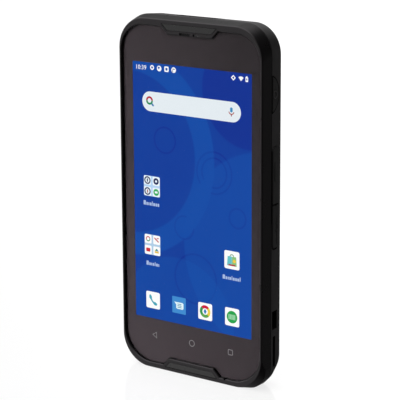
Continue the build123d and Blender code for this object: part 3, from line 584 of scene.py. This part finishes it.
# status bar: clock digits, four notices, three indicators
txt = bpy.data.curves.new("clock_text", "FONT")
txt.body = "10:39"
txt.size = 2.70 * MM
txt.extrude = 0.004 * MM
txt.offset = 0.008 * MM
txt.resolution_u = 3
txt.align_x = "LEFT"
tmp = bpy.data.objects.new("clock_text", txt)
scene.collection.objects.link(tmp)
bpy.context.view_layer.update()
me = bpy.data.meshes.new_from_object(tmp.evaluated_get(bpy.context.evaluated_depsgraph_get()))
bpy.data.objects.remove(tmp)
bm = bmesh.new()
bm.from_mesh(me)
bmesh.ops.remove_doubles(bm, verts=bm.verts, dist=1e-7)
bm.transform(Matrix.Translation((-29.45 * MM, -6.300 * MM, 132.6 * MM)) @ Matrix.Rotation(math.radians(90), 4, "X"))
bm.to_mesh(me)
bm.free()
me.name = "screen_clock_digits"
me.materials.clear()
me.materials.append(lit(250, 252, 255))
for p in me.polygons:
    p.use_smooth = False
    p.material_index = 0
clock = bpy.data.objects.new("screen_clock_digits", me)
scene.collection.objects.link(clock)
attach(clock, "housing")

st = Sheet("screen_status_icons")
pale = lit(250, 252, 255)
st.ring(ellipse(-20.4, 133.85, 1.05), ellipse(-20.4, 133.85, 0.50), L2, pale)
st.ring(ellipse(-16.6, 133.75, 1.20), ellipse(-16.75, 133.95, 0.55), L2, pale)
st.solid(stroke([(-16.6, 133.75), (-16.0, 133.2)], 0.4), L3, pale)
st.ring(rrect(-13.85, -11.55, 132.65, 135.0, 0.5), rrect(-13.25, -12.15, 133.25, 134.4, 0.25), L2, pale)
st.solid(ellipse(-8.9, 133.8, 1.2), L2, pale)
st.solid(stroke([(-9.4, 134.2), (-8.4, 134.2)], 0.34), L3, NAVY)
st.solid(stroke([(-9.4, 133.6), (-9.4, 133.1)], 0.34), L3, NAVY)
st.ring([(21.9, 134.75), (20.65, 133.55), (21.9, 132.35), (23.15, 133.55)],
        [(21.9, 134.12), (21.3, 133.55), (21.9, 132.98), (22.5, 133.55)], L2, pale)
fan = [(25.75, 132.45)] + arc_points(25.75, 132.45, 2.0, 130, 50, 10)
st.solid(fan[::-1], L2, pale)
st.ring(rrect(28.0, 29.3, 132.4, 134.45, 0.25), rrect(28.42, 28.88, 133.05, 133.9, 0.1), L2, pale)
st.solid(rrect(28.3, 29.0, 134.47, 134.78, 0.1), L2, pale)
st.make()

# search pill with a magnifier and a microphone
pill = Sheet("screen_search_pill")
pill.solid(rrect(-25.9, 25.7, 114.8, 123.38, 4.28, 16), L1, lit(230, 238, 243))
pill.make()
mk = Sheet("screen_search_marks")
mx, mz = -22.0, 119.45
for a0, a1, colour in ((10, 170, lit(182, 40, 62)), (190, 350, lit(36, 138, 88))):
    mk.solid(stroke(arc_points(mx, mz, 1.42, a0, a1, 14), 0.85), L2, colour)
mk.solid(stroke([(mx + 1.2, mz - 1.25), (mx + 1.95, mz - 2.0)], 0.85), L2, lit(64, 124, 180))
gx, gz = 20.9, 119.4
mk.solid(rrect(gx - 0.64, gx + 0.64, gz - 0.45, gz + 1.6, 0.50), L2, lit(62, 142, 190))
mk.solid(stroke(arc_points(gx, gz + 0.0, 1.30, 200, 340, 10), 0.46), L2, lit(176, 96, 92))
mk.solid(stroke([(gx, gz - 1.45), (gx, gz - 1.95)], 0.5), L2, lit(150, 84, 88))
mk.make()


def minis(x0, x1, z0, z1):
    """Four small tiles of a folder: (x0, x1, z0, z1) of each, upper left, upper right, lower left, lower right."""
    g = 0.95
    xm, zm = (x0 + x1) / 2, (z0 + z1) / 2
    e = 0.12
    return [(x0 + e, xm - g / 2, zm + g / 2, z1 - e), (xm + g / 2, x1 - e, zm + g / 2, z1 - e),
            (x0 + e, xm - g / 2, z0 + e, zm - g / 2), (xm + g / 2, x1 - e, z0 + e, zm - g / 2)]


def centre(t):
    return (t[0] + t[1]) / 2, (t[2] + t[3]) / 2


f1 = Sheet("screen_folder_upper")
box1 = (-25.65, -16.9, 77.4, 86.4)
f1.solid(rrect(*box1, 0.7), L1, lit(182, 214, 246))
t = minis(*box1)
for q in t:
    f1.solid(rrect(*q, 0.5), L2, lit(236, 245, 252))
for i in (0, 2):
    cx, cz = centre(t[i])
    f1.ring(ellipse(cx, cz, 1.72, n=28), ellipse(cx, cz, 1.12, n=28), L3, NAVY)
    f1.solid(rrect(cx - 0.32, cx + 0.32, cz - 0.75, cz + 0.75, 0.2), L3, NAVY if i == 0 else lit(170, 110, 100))
cx, cz = centre(t[1])
f1.ring(ellipse(cx, cz, 1.45, n=28), ellipse(cx, cz, 0.55, n=28), L3, NAVY)
cx, cz = centre(t[3])
f1.ring(ellipse(cx, cz, 1.50, n=28), rrect(cx - 0.75, cx + 0.75, cz - 0.45, cz + 0.45, 0.2, 6), L3, GREEN)
f1.make()

f2 = Sheet("screen_folder_lower")
box2 = (-25.6, -17.0, 51.1, 60.2)
f2.solid(rrect(*box2, 0.7), L1, lit(176, 206, 232))
t = minis(*box2)
for q in t:
    f2.solid(rrect(*q, 0.5), L2, WHITE)
cx, cz = centre(t[0])
f2.solid(stroke(arc_points(cx, cz, 0.95, 30, 200, 10), 0.5), L3, lit(200, 90, 96))
f2.solid(stroke(arc_points(cx, cz, 0.95, 220, 370, 10), 0.5), L3, lit(90, 165, 120))
cx, cz = centre(t[1])
f2.solid(stroke([(cx - 1.0, cz + 0.75), (cx + 0.9, cz - 0.65)], 0.62), L3, lit(196, 96, 104))
f2.solid(stroke([(cx + 0.25, cz + 0.8), (cx + 1.0, cz + 0.8)], 0.5), L3, lit(196, 96, 104))
cx, cz = centre(t[2])
f2.solid(rrect(cx - 1.15, cx + 1.15, cz - 0.85, cz + 0.85, 0.45), L3, lit(206, 50, 60))
cx, cz = centre(t[3])
f2.solid([(cx, cz + 1.15), (cx - 1.1, cz), (cx, cz)], L3, lit(90, 160, 84))
f2.solid([(cx, cz + 1.15), (cx, cz), (cx + 1.1, cz)], L3, lit(70, 130, 190))
f2.solid([(cx - 1.1, cz - 0.12), (cx - 1.1, cz - 0.95), (cx + 1.1, cz - 0.95), (cx + 1.1, cz - 0.12)], L3, lit(226, 190, 90))
f2.make()

# shop tile: a bag
sh = Sheet("screen_shop_tile")
sh.solid(rrect(17.2, 25.0, 51.6, 59.5, 0.8), L1, WHITE)
sh.solid([(18.9, 57.1), (18.6, 53.0), (21.1, 53.0), (21.1, 57.1)], L2, lit(104, 196, 200))
sh.solid([(21.15, 57.1), (21.15, 53.0), (23.6, 53.0), (23.3, 57.1)], L2, lit(140, 196, 130))
sh.solid(stroke(arc_points(21.1, 57.0, 0.95, 10, 170, 10), 0.4), L2, lit(110, 160, 120))
sh.solid(rrect(19.3, 22.9, 53.0, 53.7, 0.1), L3, lit(176, 60, 66))
sh.solid(ellipse(22.4, 55.2, 0.75, n=20), L3, YELLOW)
sh.make()

# dock
d1 = Sheet("screen_dock_phone")
d1.solid(rrect(-25.05, -17.55, 26.8, 34.35, 0.75), L1, WHITE)
pc = [(-22.8, 32.35), (-22.65, 31.75), (-22.3, 30.9), (-21.75, 30.1), (-21.05, 29.5), (-20.3, 29.1), (-19.7, 28.9)]
pw = [1.15, 1.50, 0.85, 0.70, 0.85, 1.50, 1.25]
d1.solid(stroke(pc, pw, 8), L2, TEAL)
d1.make()

d2 = Sheet("screen_dock_message")
d2.solid(rrect(-10.75, -3.4, 26.95, 34.43, 0.3), L1, lit(66, 140, 208))
d2.solid([(-9.6, 32.0), (-5.1, 32.0), (-4.65, 31.6), (-4.65, 29.4), (-5.05, 29.0), (-8.1, 29.0), (-8.55, 29.4), (-8.55, 30.8)],
         L2, lit(228, 248, 252))
for k in range(3):
    d2.solid(rrect(-7.9, -5.7, 29.55 + 0.72 * k, 29.95 + 0.72 * k, 0.15), L3, lit(110, 160, 190))
d2.make()

d3 = Sheet("screen_dock_compass")
d3.solid(rrect(3.3, 10.7, 26.6, 34.2, 0.75), L1, WHITE)
cx, cz = 6.98, 30.4
for a0, a1, colour in ((45, 135, lit(208, 30, 66)), (135, 225, lit(50, 152, 76)), (225, 315, lit(96, 164, 80)), (315, 405, lit(236, 206, 70))):
    band = arc_points(cx, cz, 2.8, a0, a1, 10) + arc_points(cx, cz, 1.45, a1, a0, 10)
    d3.solid(band, L2, colour)
d3.solid([(cx, cz + 1.3), (cx - 0.8, cz), (cx, cz - 1.3), (cx + 0.8, cz)], L2, lit(40, 128, 196))
d3.make()

d4 = Sheet("screen_dock_barcode")
d4.solid(rrect(17.5, 24.9, 26.45, 34.43, 0.75), L1, WHITE)
cx, cz = 21.15, 30.45
d4.solid(ellipse(cx, cz, 2.74, n=48), L2, lit(40, 162, 76))
x = cx - 1.75
for w in (0.32, 0.2, 0.45, 0.2, 0.32, 0.45, 0.2):
    d4.solid(rrect(x, x + w, cz - 1.15, cz + 1.15, 0.05, 2), L3, lit(180, 232, 192))
    x += w + 0.22
d4.make()

# greeked captions: rows of small blocks
lb = Sheet("screen_captions")
ink = lit(170, 190, 228)


def caption(x0, x1, z, tall):
    widths = [1.25, 0.85, 0.6, 0.9, 0.4, 0.95, 0.85, 0.9, 0.5, 0.85]
    x, k = x0, 0
    while x < x1 - 0.35:
        w = min(widths[k % len(widths)], x1 - x)
        h = tall if k % 4 == 0 else tall * 0.68
        lb.solid(rrect(x, x + w, z - tall * 0.5, z - tall * 0.5 + h, 0.22, 3), L2, ink)
        x += w + 0.26
        k += 1


caption(-25.9, -16.8, 74.2, 2.0)
caption(-24.7, -17.7, 47.2, 1.9)
caption(16.3, 25.9, 47.7, 1.9)
lb.make()

# navigation marks, printed on the border behind the glass
nav = Sheet("navigation_marks")
grey = Shader("navigation_print_grey")
gn = grey.noise(1500.0, 2.0)
grey.set(Base_Color=grey.mix(gn, (0.62, 0.60, 0.61), (0.68, 0.66, 0.67)), Roughness=grey.span(gn, 0.3, 0.7, 0.4, 0.5))
grey = grey.m
LN = (-6.336, -6.326)


def offset_poly(cx, cz, pts, k):
    return [(cx + (x - cx) * k, cz + (z - cz) * k) for x, z in pts]


tri = [(-21.85, 14.8), (-19.4, 16.3), (-19.4, 13.3)]
ctr = (-20.22, 14.8)
nav.ring(tri, offset_poly(*ctr, tri, 0.73), LN, grey)
nav.ring(ellipse(-0.2, 14.7, 1.46), ellipse(-0.2, 14.7, 1.22), LN, grey)
nav.ring(rrect(19.05, 21.55, 13.3, 15.8, 0.5), rrect(19.29, 21.31, 13.54, 15.56, 0.32), LN, grey)
nav.make()

# ---------------------------------------------------------------------------
# label of the battery pack, bare blocks only
# ---------------------------------------------------------------------------
film = Shader("label_film")
fn = film.noise(120.0, 3.0, 0.6)
film.set(Base_Color=film.mix(film.span(fn, 0.3, 0.7, 0.0, 1.0), (0.34, 0.345, 0.35), (0.40, 0.405, 0.41)),
         Roughness=film.span(fn, 0.3, 0.7, 0.42, 0.52))
ink = Shader("label_ink")
kn = ink.noise(900.0, 2.0, 0.5)
ink.set(Base_Color=ink.mix(kn, (0.016, 0.016, 0.018), (0.030, 0.030, 0.033)), Roughness=ink.span(kn, 0.3, 0.7, 0.45, 0.6))
label = Sheet("battery_label")
label.solid(rrect(-21.0, 21.0, 58.0, 92.0, 1.4), (5.605, 5.625), film.m)
INK = (5.625, 5.635)
label.ring(rrect(-19.8, 19.8, 59.2, 90.8, 0.9), rrect(-19.5, 19.5, 59.5, 90.5, 0.7), INK, ink.m)
label.solid(rrect(4.0, 17.5, 84.6, 88.0, 0.4), INK, ink.m)
for k, (a, b) in enumerate(((1.0, 17.5), (3.5, 17.5), (-2.0, 17.5), (6.0, 17.5), (1.5, 17.5))):
    label.solid(rrect(a, b, 80.2 - 2.6 * k, 81.1 - 2.6 * k, 0.3), INK, ink.m)
for k in range(11):
    label.solid(rrect(-17.4 + 1.36 * k, -16.9 + 1.36 * k + 0.34 * (k * 5 % 3) / 2, 62.2, 67.6, 0.03), INK, ink.m)
label.ring(ellipse(-13.6, 83.4, 3.0), ellipse(-13.6, 83.4, 2.5), INK, ink.m)
label.solid(rrect(-15.2, -12.0, 83.1, 83.7, 0.1), INK, ink.m)
label.make(body="battery")

# ---------------------------------------------------------------------------
# floor and light
# ---------------------------------------------------------------------------
bm = bmesh.new()
for x in (-1, 1):
    for y in (-1, 1):
        bm.verts.new((x * 6.0, y * 6.0, -0.00005))
bm.verts.ensure_lookup_table()
v = bm.verts
bm.faces.new((v[0], v[2], v[3], v[1]))
me = bpy.data.meshes.new("floor")
bm.to_mesh(me)
bm.free()
floor = bpy.data.objects.new("floor", me)
scene.collection.objects.link(floor)
fs = Shader("floor_white")
fs.set(Base_Color=fs.mix(fs.noise(3.0, 2.0), (0.30, 0.30, 0.30), (0.31, 0.31, 0.31)), Roughness=0.08, IOR=1.8,
       Emission_Color=(1.0, 1.0, 1.0), Emission_Strength=0.78)
me.materials.append(fs.m)
floor.visible_diffuse = False
floor.visible_glossy = False
floor.visible_transmission = False
floor.visible_shadow = False

world = bpy.data.worlds.new("studio")
scene.world = world
world.use_nodes = True
wt = world.node_tree
wt.nodes.clear()
wo = wt.nodes.new("ShaderNodeOutputWorld")
wc = wt.nodes.new("ShaderNodeTexCoord")
wn = wt.nodes.new("ShaderNodeVectorMath")
wn.operation = "NORMALIZE"
wt.links.new(wc.outputs["Generated"], wn.inputs[0])
total = None
# direction that the light comes from, angle to full, angle to none, radiance
LIGHTS = [
    ((-0.42, -0.25, 0.87), 20, 66, 1.60),     # overhead softbox, towards the front left
    ((-0.76, -0.52, -0.39), 8, 60, 0.62),     # large front left fill, low
    ((-0.577, 0.80, 0.05), 5, 20, 0.22),      # back left, at the horizon
    ((-0.32, 0.91, 0.29), 5, 25, 0.52),       # back, above the horizon
    ((0.33, 0.93, -0.20), 6, 30, 0.13),       # back, low
    ((-0.30, 0.10, -0.95), 20, 62, 0.16),     # from the pale floor
]
BASE_LIGHT = 0.036
for d, inner, outer, power in LIGHTS:
    d = Vector(d).normalized()
    dot = wt.nodes.new("ShaderNodeVectorMath")
    dot.operation = "DOT_PRODUCT"
    wt.links.new(wn.outputs[0], dot.inputs[0])
    dot.inputs[1].default_value = d
    mr = wt.nodes.new("ShaderNodeMapRange")
    mr.interpolation_type = "SMOOTHERSTEP"
    wt.links.new(dot.outputs["Value"], mr.inputs[0])
    mr.inputs[1].default_value = math.cos(math.radians(outer))
    mr.inputs[2].default_value = math.cos(math.radians(inner))
    mr.inputs[3].default_value = 0.0
    mr.inputs[4].default_value = power
    if total is None:
        add = wt.nodes.new("ShaderNodeMath")
        add.operation = "ADD"
        add.inputs[1].default_value = BASE_LIGHT
        wt.links.new(mr.outputs[0], add.inputs[0])
    else:
        add = wt.nodes.new("ShaderNodeMath")
        add.operation = "ADD"
        wt.links.new(total, add.inputs[0])
        wt.links.new(mr.outputs[0], add.inputs[1])
    total = add.outputs[0]
studio = wt.nodes.new("ShaderNodeBackground")
studio.inputs["Color"].default_value = (1.0, 1.0, 1.0, 1.0)
wt.links.new(total, studio.inputs["Strength"])
white = wt.nodes.new("ShaderNodeBackground")
white.inputs["Color"].default_value = (1.0, 1.0, 1.0, 1.0)
white.inputs["Strength"].default_value = 1.0
lp = wt.nodes.new("ShaderNodeLightPath")
wm = wt.nodes.new("ShaderNodeMixShader")
wt.links.new(lp.outputs["Is Camera Ray"], wm.inputs[0])
wt.links.new(studio.outputs[0], wm.inputs[1])
wt.links.new(white.outputs[0], wm.inputs[2])
wt.links.new(wm.outputs[0], wo.inputs["Surface"])
